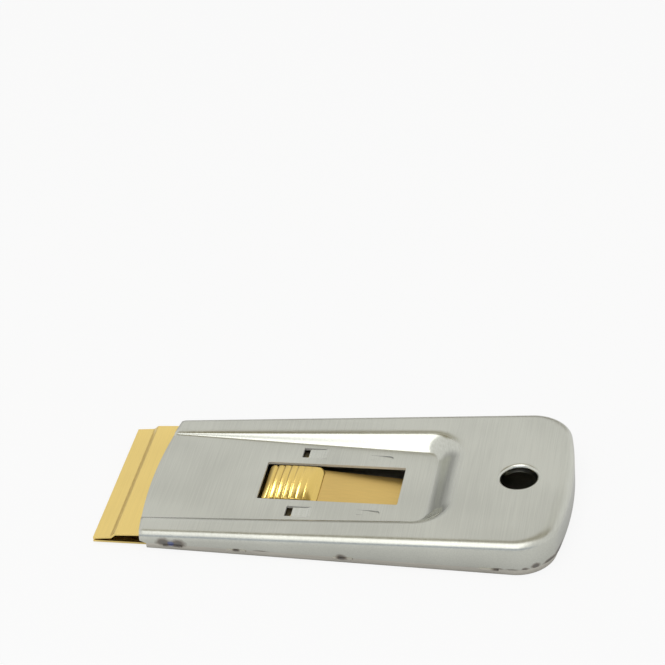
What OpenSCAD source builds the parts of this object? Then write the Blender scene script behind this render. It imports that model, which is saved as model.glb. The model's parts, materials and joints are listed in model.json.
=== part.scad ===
// Pocket scraper for single-edge razor blades: a pressed steel handle with a sliding blade carrier.
// +Y points to the blade end, +X to the right, +Z up. The part lies on its back plate, carrier run out.
// Lengths along the handle are counted backwards from the front corners of the shell.

/* [Handle] */
// Length of the handle from its front corners to its rear end
body_l = 89.8; // [84:0.1:100]
// How much wider the straight sides would be at the rear end
flare_w = 5.6; // [4:0.1:9]
// How much higher the handle is at its rear end
wedge_rise = 4.2; // [3:0.05:6]
// How far the middle of the front edge stands before the corners
front_bow = 1.85; // [0.5:0.05:3]
// Radius of the curve of the rear edge in plan
rear_r = 82; // [45:1:120]
// Radius of the rear corners in plan
corner_r = 9; // [6:0.1:12]
// Radius of the bend along the sides of the top
side_bend_r = 1.5; // [1:0.05:2]
// Reach of the softer bend at the rear of the top
rear_bend_r = 3; // [1.5:0.1:4]
// Thickness of the shell's sheet
sheet_t = 0.6; // [0.5:0.05:0.8]
// Height of the lower edge of the shell's skirt
skirt_h = 2.1; // [1.8:0.05:2.5]

/* [Thumb panel] */
// How deep the panel lies below the border at the front corners
panel_drop = 0.4; // [0.2:0.05:0.8]
// Width of the border beside the panel at the front corners
border_w = 5.5; // [4.5:0.1:6]
// Width of the border beside the panel at the panel's rear
border_rear_w = 7.68; // [6:0.01:9]
// Distance from the panel's rear rim to the hang hole
rim_set = 13.9; // [11:0.1:16]
// Radius of the rim's rear corners in plan
rim_r = 7; // [5:0.1:9]
// Run of the panel's side walls in plan at the front corners
side_run = 0.3; // [0.2:0.05:1]
// Run of the panel's side walls in plan at the panel's rear
side_rear_run = 2.6; // [2:0.05:4]
// Run of the panel's rear wall in plan
rear_run = 4.6; // [3:0.1:6]
// Radius of the flat's rear corners in plan
flat_r = 3.3; // [2:0.1:4]
// Distance from the window to the rear of the panel's flat
window_set = 6.8; // [5:0.1:9]
// Share of the panel's flat that lies before the window
window_share = 0.376; // [0.35:0.002:0.4]

/* [Catches] */
// Width of a front lance
lance_w = 3.4; // [2.6:0.1:3.8]
// Length of a front lance
lance_l = 5.4; // [4.5:0.1:6]
// Share of the way from the window to the flat's edge at which a front lance has its middle
lance_side_share = 0.548; // [0.5:0.002:0.6]
// Share of the window that lies before the front lances
lance_share = 0.233; // [0.2:0.001:0.27]
// Open length before a lance's bent tab
lance_gap = 1.4; // [1:0.1:2]
// How far the free end of a tab is bent down
tab_drop = 0.22; // [0.05:0.01:0.25]
// Width of a rear tongue
tongue_w = 1.5; // [1:0.1:2]
// Length of a rear tongue
tongue_l = 4.9; // [4:0.1:6]
// Share of the way from the window to the flat's edge at which a rear tongue has its middle
tongue_side_share = 0.488; // [0.4:0.002:0.6]
// Share of the window that lies before the rear tongues
tongue_share = 0.731; // [0.65:0.001:0.78]
// Width of the shears beside tabs and tongues
shear_w = 0.2; // [0.1:0.05:0.3]

/* [Hang hole] */
// Diameter of the hang hole
hole_d = 7.7; // [5:0.1:9]
// Distance from the rear end to the hang hole
hole_set = 11.4; // [10:0.1:13]
// Depth of the turned-down collar
collar_h = 1.7; // [1.2:0.1:2.5]

/* [Back plate] */
// Thickness of the back plate
plate_t = 0.45; // [0.35:0.05:0.6]
// Radius of the plate's lower bend
plate_bend_r = 0.6; // [0.6:0.05:1.1]
// How far the plate is set back from the shell's front edge
plate_set = 1.2; // [0.8:0.1:2]
// Gap between the plate's wall and the shell's skirt
plate_gap = 0.02; // [0.01:0.01:0.05]
// Radius of a tack weld
tack_r = 0.8; // [0.65:0.05:0.95]
// Length of a tack weld
tack_l = 4; // [2:0.5:6]

/* [Blade carrier] */
// Width of the carrier
carrier_w = 38.7; // [38.3:0.1:40]
// Gap between the carrier and the plate's wall at each side
carrier_gap = 0.18; // [0.15:0.01:0.4]
// How far the carrier's front edge stands before the front corners
carrier_reach = 10.8; // [9:0.1:12]
// Thickness of the carrier's leaves
leaf_t = 0.45; // [0.35:0.05:0.6]
// Gap between the back plate and the base leaf
base_gap = 0.15; // [0.1:0.01:0.3]
// Length of the base leaf's wide part behind the front corners
base_back = 12; // [10:0.1:14]
// Width of the base leaf's strip under the spring
strip_w = 10.8; // [9:0.1:11]
// Gap for the blade between lip and base leaf, at the lip's front edge
blade_gap = 0.25; // [0.2:0.01:0.35]
// Length of the lip before its joggle
lip_l = 3.9; // [3:0.1:5]
// Rise of the lip from its front edge to the joggle
lip_rise = 0.33; // [0.2:0.01:0.4]
// Length of the joggle
joggle_l = 0.95; // [0.6:0.05:1.2]
// Rise of the joggle over the blade's spine
joggle_rise = 0.87; // [0.75:0.01:1]
// Distance from the front corners to the wall that stops the blade's spine
stop_back = 1.6; // [1:0.1:2.5]
// Rise of the channel's roof towards that wall
roof_rise = 0.4; // [0.2:0.01:0.5]
// Slant of the stop wall
stop_run = 0.5; // [0.3:0.05:0.8]
// Gap between the channel's roof and the panel
roof_gap = 0.25; // [0.2:0.01:0.4]

/* [Thumb spring] */
// Thickness of the spring leaf
spring_t = 0.4; // [0.3:0.05:0.5]
// Width of the thumb hump
hump_w = 12.2; // [11:0.05:13]
// Length of the thumb hump
hump_l = 12.7; // [11:0.1:14]
// Height of the hump's crests over the spring's level part
hump_rise = 1.5; // [1:0.01:1.8]
// Gap between the hump and the window's edges
hump_gap = 0.3; // [0.2:0.01:0.5]
// How far the tail is narrower than the hump at each side
tail_set = 0.25; // [0.1:0.05:0.8]
// Number of ribs on the hump
rib_count = 7; // [4:1:7]
// Pitch of the ribs
rib_pitch = 1.5; // [1.2:0.05:1.75]
// Height of a rib over the valleys
rib_rise = 0.37; // [0.2:0.01:0.5]
// Height of a catch tooth over its wing
tooth_h = 0.2; // [0.1:0.01:0.3]
// Length of a catch tooth
tooth_l = 1.2; // [0.8:0.1:1.5]
// Width of a catch tooth
tooth_w = 1.6; // [1:0.1:2]
// Gap between a tooth and the free end of its tab
tooth_gap = 0.18; // [0.1:0.01:0.3]
// How far a wing runs out past its tooth
wing_lip = 1; // [0.5:0.1:1.5]
// Length of a wing
wing_l = 7; // [5:0.1:8]
// Length of the spring's riveted foot
foot_l = 3; // [2.6:0.1:3.5]

/* [Rivets] */
// Radius of a lip rivet's shank
lip_rivet_r = 0.9; // [0.6:0.1:1.2]
// Distance between lip rivets
lip_rivet_pitch = 12; // [8:0.5:15]
// Radius of a spring rivet's shank
foot_rivet_r = 0.6; // [0.4:0.05:0.7]
// Distance between spring rivets
foot_rivet_pitch = 6; // [4:0.5:7]
// Height of a rivet head
head_h = 0.4; // [0.3:0.05:0.6]
// How far a rivet head stands out over its shank
head_lip = 0.6; // [0.3:0.05:0.7]

/* [Hidden] */
$fn = 64;

// Length that every cut runs past its faces
overrun = 0.5;
// Thickness of the layers that a bent edge is drawn over
layer_t = 0.01;
// Steps of a bend, a corner and the rear edge
bend_steps = 5;
corner_steps = 10;
rear_steps = 5;

// Levels, from below: base leaf, lip, roof of the channel, panel, wedge
base_low = plate_t + base_gap;
base_top = base_low + leaf_t;
landing_top = base_top + leaf_t;
lip_low = base_top + blade_gap;
joggle_low = lip_low + lip_rise;
roof_low = joggle_low + joggle_rise;
stop_low = roof_low + roof_rise;
panel_under_h = stop_low + leaf_t + roof_gap;
panel_h = panel_under_h + sheet_t;
front_h = panel_h + panel_drop;
rear_h = front_h + wedge_rise;
slope = wedge_rise / body_l;

// The plate's wall fits round the carrier and reaches up to where the shell's bend starts
body_w = carrier_w + 2 * (carrier_gap + plate_t + plate_gap + sheet_t);
plate_wall_h = front_h - side_bend_r;
flare = atan(flare_w / 2 / body_l);
middle = (body_l - carrier_reach) / 2;
front_r = (pow(body_w / 2, 2) + pow(front_bow, 2)) / (2 * front_bow);
tack_shares = [0.08, 0.235, 0.49, 0.83];

// The rear corner's middle lies where its circle meets the straight side and the rear curve
rear_mid = body_l - rear_r;
corner_off = cos(flare) * body_w / 2 - corner_r + sin(flare) * rear_mid;
rear_turn = flare + asin(corner_off / (rear_r - corner_r));
corner_x = (rear_r - corner_r) * sin(rear_turn);
corner_back = rear_mid + (rear_r - corner_r) * cos(rear_turn);
corner_sweep = 90 - rear_turn + flare;

// Hang hole, panel, window and lances follow each other from the rear end
hole_back = body_l - hole_set;
rim_l = hole_back - rim_set;
rim_w = body_w - 2 * border_w;
rim_rear_w = 2 * (half_w(rim_l) - border_rear_w);
flat_l = rim_l - rear_run;
flat_w = rim_w - 2 * side_run;
flat_rear_w = rim_rear_w - 2 * side_rear_run;
under_grow_share = 0.33;
window_w = hump_w + 2 * hump_gap;
window_back = flat_l * window_share;
window_end = flat_l - window_set;
window_l = window_end - window_back;
lance_back = window_back + window_l * lance_share;
lance_x = beside_window(lance_back + lance_l, lance_side_share);
tongue_back = window_back + window_l * tongue_share;
tongue_x = beside_window(tongue_back + tongue_l, tongue_side_share);
// How far a tab runs on into the panel behind its root
root_lap = 0.3;

// The spring lies under the panel and turns on the rivets of its foot, behind the window
level_h = panel_under_h - tab_drop - tooth_gap - tooth_h;
hump_back = window_back + hump_gap;
hump_end = hump_back + hump_l;
hump_h = level_h + hump_rise;
hump_top = hump_h - rib_rise;
hump_nose_share = 0.1;
hump_heel_share = 0.14;
rib_r = (pow(rib_pitch / 2, 2) + pow(rib_rise, 2)) / (2 * rib_rise);
rib_low = hump_h - rib_r;
rib_margin_share = 0.04;
rib_first = hump_back + (hump_l - (rib_count - 1) * rib_pitch) / 2;
tail_w = hump_w - 2 * tail_set;
tooth_back = lance_back + lance_gap / 2;
wing_back = tooth_back - (wing_l - tooth_l) / 2;
wing_w = 2 * (lance_x + tooth_w / 2 + wing_lip);
foot_gap = 0.1;
foot_low = base_top + foot_gap;
foot_top = foot_low + spring_t;
foot_set = 0.5;
foot_back = window_end + foot_set;
foot_end = foot_back + foot_l;
pivot_back = foot_back + foot_l / 2;
lip_rivet_back = (stop_back + stop_run + leaf_t + base_back) / 2;

// Y of a place behind the front corners, and the height of the wedge's top there
function y_at(back) = middle - back;
function top_at(back) = front_h + slope * back;
function half_w(back) = body_w / 2 + tan(flare) * back;
function between(a, b, share) = a + (b - a) * share;
function flat_half_w(back) = between(flat_w, flat_rear_w, back / flat_l) / 2;
function beside_window(back, share) = between(window_w / 2, flat_half_w(back), share);
function mirrored(points) = concat(points,
    [for (i = [len(points) - 1:-1:0]) [-points[i][0], points[i][1]]]);

// Plan of the handle with its sides and rear drawn in, the front left long for the front cut
function plan(side_in, rear_in, ahead = front_bow + overrun) = mirrored(concat(
    [[half_w(-ahead) - side_in / cos(flare), y_at(-ahead)]],
    [for (i = [0:corner_steps])
        let (turn = corner_sweep * i / corner_steps - flare,
            r = corner_r - side_in - (rear_in - side_in) * i / corner_steps)
        [corner_x + r * cos(turn), y_at(corner_back + r * sin(turn))]],
    [for (i = [1:rear_steps])
        let (turn = rear_turn * (1 - i / rear_steps))
        [(rear_r - rear_in) * sin(turn), y_at(rear_mid + (rear_r - rear_in) * cos(turn))]]));

// Plan of a tapered panel with round rear corners
function panel_plan(w, w_rear, l, r, grow) = mirrored(concat(
    [[w / 2 - (w_rear - w) / 2 * (front_bow + overrun) / l + grow, y_at(-front_bow - overrun)]],
    [for (i = [0:corner_steps])
        let (turn = 90 * i / corner_steps)
        [w_rear / 2 - r + (r + grow) * cos(turn), y_at(l - r + (r + grow) * sin(turn))]]));

// Lays what is drawn flat onto the sloping top
module on_top() {
    multmatrix([[1, 0, 0, 0], [0, 1, 0, 0], [0, -slope, 1, top_at(middle)], [0, 0, 0, 1]]) children();
}

module slab(points, low, h) {
    translate([0, 0, low]) linear_extrude(h) polygon(points);
}

// Stretches a profile of [distance behind the front corners, height] points across the width
module across(w, profile) {
    translate([-w / 2, 0, 0]) rotate([90, 0, 90])
        linear_extrude(w) polygon([for (p = profile) [y_at(p[0]), p[1]]]);
}

// The wedge of the handle, drawn in by a thickness, with its bent upper edge
module wedge(inset, low) {
    hull() {
        slab(plan(inset, inset), low, layer_t);
        for (i = [0:bend_steps]) {
            turn = 90 * i / bend_steps;
            side_in = inset + (side_bend_r - inset) * (1 - cos(turn));
            rear_in = inset + (rear_bend_r - inset) * (1 - cos(turn));
            drop = inset + (side_bend_r - inset) * (1 - sin(turn));
            on_top() slab(plan(side_in, rear_in), -drop - layer_t, layer_t);
        }
    }
}

// The hollow over the sunk panel, or with grow the same form for the sheet's lower side
module panel_hollow(grow, above) {
    hull() {
        slab(panel_plan(flat_w, flat_rear_w, flat_l, flat_r, grow), panel_h, layer_t);
        on_top() slab(panel_plan(rim_w, rim_rear_w, rim_l, rim_r, grow), -layer_t, layer_t + above);
    }
}

// Everything behind the bowed front edge, moved back by a distance
module behind_front(set) {
    translate([0, y_at(set - front_bow + front_r), -overrun])
        cylinder(r = front_r, h = rear_h + 2 * overrun, $fn = 180);
}

module pair() {
    children();
    mirror([1, 0, 0]) children();
}

// Cuts through the panel's sheet with a flat shape
module panel_cut() {
    translate([0, 0, panel_under_h - overrun]) linear_extrude(sheet_t + 2 * overrun) children();
}

// A rectangle in plan, its middle at x and its front edge at a distance behind the front corners
module opening(x, back, w, l) {
    translate([x - w / 2, y_at(back + l)]) square([w, l]);
}

// A round-ended tongue drawn wider by a margin, its root open to the front
module tongue_shape(grow) {
    w = tongue_w + 2 * grow;
    l = tongue_l - tongue_w / 2;
    opening(tongue_x, tongue_back, w, l);
    translate([tongue_x, y_at(tongue_back + l)]) circle(d = w);
}

module tab() {
    root = lance_back + lance_l;
    tip = lance_back + lance_gap;
    translate([lance_x, 0, 0]) across(lance_w - 2 * shear_w, [[root + root_lap, panel_h],
        [root + root_lap, panel_under_h], [root, panel_under_h], [tip, panel_under_h - tab_drop],
        [tip, panel_h - tab_drop], [root, panel_h]]);
}

// The skirt's front ends are raked back towards their lower edge
module skirt_rake() {
    across(body_w + 2 * overrun, [[-front_bow - overrun, skirt_h - overrun], [plate_set, skirt_h - overrun],
        [plate_set, skirt_h], [-front_bow - overrun, panel_under_h]]);
}

// Pressed handle shell: wedge, sunk panel, window, lances and hang hole
module top_shell() {
    color("silver") difference() {
        union() {
            intersection() {
                difference() {
                    union() {
                        difference() {
                            wedge(0, skirt_h);
                            wedge(sheet_t, skirt_h - overrun);
                        }
                        translate([0, 0, -sheet_t]) panel_hollow(sheet_t * under_grow_share, 0);
                    }
                    panel_hollow(0, overrun);
                    panel_cut() opening(0, window_back, window_w, window_l);
                    pair() panel_cut() opening(lance_x, lance_back, lance_w, lance_l);
                    pair() panel_cut() difference() {
                        tongue_shape(shear_w);
                        tongue_shape(0);
                    }
                    skirt_rake();
                }
                behind_front(0);
            }
            pair() tab();
            translate([0, y_at(hole_back), top_at(hole_back) - collar_h])
                cylinder(d = hole_d + 2 * sheet_t, h = collar_h - sheet_t / 2);
        }
        translate([0, y_at(hole_back), 0]) cylinder(d = hole_d, h = rear_h + overrun);
    }
}

// The pan of the back plate as a full block, with its bent lower edge
module pan_block(inset) {
    hull() {
        slab(plan(inset, inset), plate_wall_h - layer_t, layer_t);
        for (i = [0:bend_steps]) {
            turn = 90 * i / bend_steps;
            bend_in = inset + plate_bend_r * (1 - sin(turn));
            slab(plan(bend_in, bend_in), plate_bend_r * (1 - cos(turn)), layer_t);
        }
    }
}

// Shallow pan that closes the shell from below
module back_plate() {
    outer = sheet_t + plate_gap;
    inner = outer + plate_t;
    color("gainsboro") difference() {
        intersection() {
            difference() {
                pan_block(outer);
                slab(plan(inner, inner, front_bow + 2 * overrun), plate_t, plate_wall_h);
            }
            behind_front(plate_set);
        }
        translate([0, y_at(hole_back), -overrun]) cylinder(d = hole_d, h = plate_t + 2 * overrun);
    }
}

// Quarter-round tack welds under the skirt's edge, against the plate's wall
module weld_tacks() {
    wall_in = (sheet_t + plate_gap) / cos(flare);
    color("dimgray") pair() for (share = tack_shares)
        translate([half_w(share * body_l) - wall_in, y_at(share * body_l), skirt_h]) rotate([90, 0, flare])
            linear_extrude(tack_l, center = true) intersection() {
                circle(tack_r);
                translate([0, -tack_r]) square(tack_r);
            }
}

module lip_rivet_places() {
    for (i = [-1:1]) translate([i * lip_rivet_pitch, y_at(lip_rivet_back), 0]) children();
}

module foot_rivet_places() {
    pair() translate([foot_rivet_pitch / 2, y_at(pivot_back), 0]) children();
}

// Lower leaf under the blade, with a strip that runs back under the spring
module carrier_base() {
    color("goldenrod") difference() {
        translate([0, 0, base_low]) linear_extrude(leaf_t) {
            opening(0, -carrier_reach, carrier_w, carrier_reach + base_back);
            opening(0, base_back, strip_w, foot_end - base_back);
        }
        lip_rivet_places() cylinder(r = lip_rivet_r, h = base_top + overrun);
        foot_rivet_places() cylinder(r = foot_rivet_r, h = base_top + overrun);
    }
}

// Upper leaf: lip, joggle, channel for the blade's spine, stop wall and landing
module blade_lip() {
    joggle = lip_l - carrier_reach;
    roof = joggle + joggle_l;
    landing = stop_back + stop_run;
    color("gold") difference() {
        across(carrier_w, [[-carrier_reach, lip_low], [joggle, joggle_low], [roof, roof_low],
            [stop_back, stop_low], [landing, base_top], [base_back, base_top], [base_back, landing_top],
            [landing + leaf_t, landing_top], [stop_back + leaf_t, stop_low + leaf_t],
            [roof, roof_low + leaf_t], [joggle, joggle_low + leaf_t], [-carrier_reach, lip_low + leaf_t]]);
        lip_rivet_places() cylinder(r = lip_rivet_r, h = landing_top + overrun);
    }
}

// Outer form of the thumb hump, or its hollow with an inset
module hump(inset) {
    nose = hump_back + hump_l * hump_nose_share;
    heel = hump_end - hump_l * hump_heel_share;
    low = level_h - spring_t - inset;
    across(hump_w - 2 * inset, [[hump_back + inset, low], [hump_back + inset, level_h],
        [nose, hump_top - inset], [heel, hump_top - inset], [hump_end - inset, level_h],
        [hump_end - inset, low]]);
}

module ribs() {
    w = hump_w * (1 - 2 * rib_margin_share);
    for (i = [0:rib_count - 1])
        translate([-w / 2, y_at(rib_first + i * rib_pitch), rib_low]) rotate([0, 90, 0])
            cylinder(r = rib_r, h = w);
}

// A rectangle of the spring from the lower face of its level part up to a height
module flat_leaf(x, back, w, l, top) {
    translate([0, 0, level_h - spring_t]) linear_extrude(top - level_h + spring_t) opening(x, back, w, l);
}

// Spring leaf: foot, falling tail, level part with wings and teeth, and the ribbed hump
module thumb_spring() {
    level_low = level_h - spring_t;
    color("goldenrod") difference() {
        union() {
            across(tail_w, [[foot_end, foot_low], [foot_end, foot_top], [foot_back, foot_top],
                [hump_end, level_h], [hump_back, level_h], [hump_back, level_low], [hump_end, level_low],
                [foot_back, foot_low]]);
            flat_leaf(0, wing_back, wing_w, wing_l, level_h);
            pair() flat_leaf(lance_x, tooth_back, tooth_w, tooth_l, level_h + tooth_h);
            hump(0);
            intersection() {
                ribs();
                flat_leaf(0, hump_back, hump_w, hump_l, hump_h + overrun);
            }
        }
        hump(spring_t);
        foot_rivet_places() cylinder(r = foot_rivet_r + foot_gap, h = foot_top + overrun);
    }
}

// A rivet with its lower end flush and its head over a given height
module rivet(r, head_low) {
    translate([0, 0, base_low]) cylinder(r = r, h = head_low - base_low);
    translate([0, 0, head_low]) cylinder(r = r + head_lip, h = head_h);
}

module lip_rivets() {
    color("peru") lip_rivet_places() rivet(lip_rivet_r, landing_top);
}

module spring_rivets() {
    color("peru") foot_rivet_places() rivet(foot_rivet_r, foot_top + foot_gap);
}

top_shell();
back_plate();
weld_tacks();
carrier_base();
blade_lip();
thumb_spring();
lip_rivets();
spring_rivets();
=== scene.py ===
"""Razor blade scraper: the visible pieces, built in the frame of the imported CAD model."""

import json
import math

import bmesh
import bpy
from mathutils import Matrix, Vector


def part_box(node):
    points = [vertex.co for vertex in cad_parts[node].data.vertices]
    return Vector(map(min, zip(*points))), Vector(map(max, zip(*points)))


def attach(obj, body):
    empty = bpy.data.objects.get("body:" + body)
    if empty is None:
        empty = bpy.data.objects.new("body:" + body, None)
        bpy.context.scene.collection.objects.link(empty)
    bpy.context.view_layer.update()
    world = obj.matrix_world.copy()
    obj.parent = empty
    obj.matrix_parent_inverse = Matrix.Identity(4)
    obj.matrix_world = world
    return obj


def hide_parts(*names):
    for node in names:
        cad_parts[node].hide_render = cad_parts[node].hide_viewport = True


bl_info = {
    "name": "Razor blade scraper",
    "version": (1, 0, 0),
    "blender": (4, 5, 0),
    "location": "3D View > Sidebar > Scraper",
    "description": "Builds the pieces, finishes and stage of a pocket razor blade scraper",
    "category": "Object",
}

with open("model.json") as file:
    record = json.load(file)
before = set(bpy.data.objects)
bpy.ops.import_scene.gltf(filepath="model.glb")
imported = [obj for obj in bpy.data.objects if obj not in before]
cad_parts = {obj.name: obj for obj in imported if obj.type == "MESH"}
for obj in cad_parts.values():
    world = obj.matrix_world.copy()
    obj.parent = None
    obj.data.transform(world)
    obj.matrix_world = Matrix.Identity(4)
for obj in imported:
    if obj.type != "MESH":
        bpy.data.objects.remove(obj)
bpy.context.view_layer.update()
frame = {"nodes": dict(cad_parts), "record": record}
MM = 0.001

# Boxes of the CAD nodes that the sizes below are read from
SHELL_LOW, SHELL_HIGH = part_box("top_shell")
PLATE_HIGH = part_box("back_plate")[1]
BASE_LOW, BASE_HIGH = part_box("carrier_base")
LIP_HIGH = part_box("blade_lip")[1]
SPRING_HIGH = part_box("thumb_spring")[1]
HANG_HOLE = next(m for m in frame["record"]["mounts"] if m["name"] == "hang_hole")

# Steps of the meshes' curves
SIDE_STEPS = 28
CORNER_STEPS = 32
REAR_STEPS = 16
BEND_STEPS = 10
SKIRT_STEPS = 4
FILLET_STEPS = 8
HOLE_STEPS = 64
ARC_STEPS = 30
WINDOW_STEPS = 4
TONGUE_STEPS = 12
TIP_STEPS = 6
TAIL_STEPS = (8, 4)
WING_STEPS = (42, 30)
HUMP_STEPS = (144, 56)
FLOOR_STEPS = 64
# Shares at which the front roll, the tabs, the tongues, the plate's wall and the lip are drawn
ROLL_SHARES = (0, 0.25, 0.5, 0.75, 1, 1.3)
TAB_SHARES = (0, 0.03, 0.06, 0.1, 0.14, 0.18, 0.22, 0.5, 0.8, 1)
TONGUE_SHARES = (0, 0.03, 0.1, 0.25, 0.5, 0.75, 1)
PLATE_SHARES = (0, 0.33, 0.67)
LIP_SHARES = (-1, -0.98, -0.75, -0.5, -0.25, 0, 0.25, 0.5, 0.75, 0.98, 1)
# Width of the plain band that keeps a flat's shading off the bend or the hole beside it
BEND_BAND = 0.5 * MM
HOLE_BAND = 0.4 * MM
# Points closer than this are one, and rises below this are none
SAME_POINT = 0.001 * MM
NO_RISE = 0.0001 * MM
# Edges sharper than these are rounded in a softened piece, or kept crisp in one that isn't softened
SOFT_ANGLE = math.radians(50)
CRISP_ANGLE = math.radians(38)
EDGE_SEGMENTS = 2


def size(name, description, mm):
    """A length that a user can change, given in millimetres."""
    return bpy.props.FloatProperty(
        name=name, description=description, default=mm * MM, unit="LENGTH", precision=5)


def part_of(name, description, default):
    """A share of a length that a user can change."""
    return bpy.props.FloatProperty(
        name=name, description=description, default=default, subtype="FACTOR", min=0, max=1)


def turn(name, description, degrees):
    """An angle that a user can change."""
    return bpy.props.FloatProperty(
        name=name, description=description, default=math.radians(degrees), unit="ROTATION")


def linear(code):
    """Linear colour of an sRGB hex value."""
    parts = [int(code[i:i + 2], 16) / 255 for i in (1, 3, 5)]
    return [c / 12.92 if c <= 0.04045 else ((c + 0.055) / 1.055) ** 2.4 for c in parts]


def tint(name, description, code):
    """A colour that a user can change, given as sRGB hex."""
    return bpy.props.FloatVectorProperty(
        name=name, description=description, default=linear(code), subtype="COLOR", size=3, min=0, max=1)


class ScraperHandle(bpy.types.PropertyGroup):
    """Sizes of the pressed handle shell and its back plate."""
    front_bow: size("Front bow", "How far the front edge's middle stands before its corners", 1.85)
    body_w: size("Front width", "Width of the handle at its front corners", 41.2)
    flare_w: size("Flare", "How much wider the straight sides would be at the rear end", 5.6)
    front_h: size("Front height", "Height of the handle at its front corners", 4.6)
    wedge_rise: size("Wedge rise", "How much higher the handle is at its rear end", 4.2)
    rear_r: size("Rear curve", "Radius of the rear edge in plan", 82)
    corner_r: size("Rear corners", "Radius of the rear corners in plan", 9)
    side_bend_r: size("Side bend", "Radius of the bend along the sides", 1.5)
    rear_bend_r: size("Rear bend", "Reach of the bend at the rear", 3)
    bend_growth: part_of("Bend growth", "How far the side bend has grown to the rear bend at the corners", 0.35)
    sheet_t: size("Sheet", "Thickness of the shell's sheet", 0.6)
    front_roll: size("Front roll", "Length over which the front edge is rolled down", 0.9)
    roll_drop: size("Front roll drop", "How far the front edge is rolled down", 0.17)
    panel_h: size("Panel height", "Height of the sunk panel", 4.2)
    border_w: size("Border", "Width of the border beside the panel at the front", 5.5)
    border_rear_w: size("Rear border", "Width of the border beside the panel at its rear", 7.68)
    rim_set: size("Rim place", "Distance from the panel's rim to the hang hole's middle", 13.9)
    rim_r: size("Rim corners", "Radius of the rim's rear corners", 7)
    side_run: size("Side wall", "Run of the panel's wall at the front", 0.3)
    side_rear_run: size("Rear side wall", "Run of the panel's side wall at its rear", 2.6)
    rear_run: size("Rear wall", "Run of the panel's rear wall", 4.6)
    flat_r: size("Flat corners", "Radius of the flat's rear corners", 3.3)
    flat_fillet: size("Flat fillet", "Reach of the fillet at the side wall into the flat", 0.5)
    flat_rear_fillet: size("Flat rear fillet", "Reach of the fillet at the rear wall into the flat", 0.8)
    rim_fillet: size("Rim fillet", "Reach of the fillet at the side wall into the border", 1.7)
    rear_fillet: size("Rear rim fillet", "Reach of the fillet at the rear wall into the border", 2)
    window_w: size("Window width", "Width of the window", 12.8)
    window_set: size("Window place", "Distance from the window to the rear of the panel's flat", 6.8)
    window_share: part_of("Window start", "Share of the flat's length before the window", 0.376)
    window_r: size("Window corners", "Radius of the window's corners", 0.35)
    lance_w: size("Lance width", "Width of a front lance", 3.4)
    lance_l: size("Lance length", "Length of a front lance", 5.4)
    lance_share: part_of("Lance start", "Share of the window's length before the front lances", 0.233)
    lance_side: part_of("Lance offset", "Share of the flat beside the window up to a front lance", 0.548)
    lance_gap: size("Lance opening", "Open length before a lance's tab", 1.4)
    tab_drop: size("Tab drop", "How far a tab is bent down", 0.22)
    tongue_w: size("Tongue width", "Width of a rear tongue", 1.5)
    tongue_l: size("Tongue length", "Length of a rear tongue", 4.9)
    tongue_share: part_of("Tongue start", "Share of the window's length before the rear tongues", 0.731)
    tongue_side: part_of("Tongue offset", "Share of the flat beside the window up to a rear tongue", 0.488)
    tongue_drop: size("Tongue drop", "How far a tongue's round end is bent down", 0.25)
    shear_w: size("Shear width", "Width of the shears beside tabs and tongues", 0.07)
    hole_r: size("Hole radius", "Radius of the hang hole", HANG_HOLE["dims"]["r_mm"])
    hole_roll: size("Hole roll", "Radius of the hang hole's rolled edge", 0.75)
    collar_h: size("Collar", "Depth of the hang hole's collar", 1.7)
    plate_t: size("Plate", "Thickness of the back plate", 0.45)
    plate_bend_r: size("Plate bend", "Radius of the plate's lower bend", 0.6)
    plate_set: size("Plate set", "How far the plate is set back from the front edge", 1.2)
    plate_gap: size("Plate gap", "Gap between the plate's wall and the skirt", 0.02)
    rake_h: size("Rake height", "Height at which the skirt's rake would leave the front edge", 3.6)
    rake_past: size("Rake reach", "How far the skirt's rake runs on past the front edge's middle", 0.5)
    edge: size("Sheared edge", "Rounding of sheared edges", 0.08)
    tack_edge: size("Weld edge", "Rounding of the tack welds", 0.2)


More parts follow.
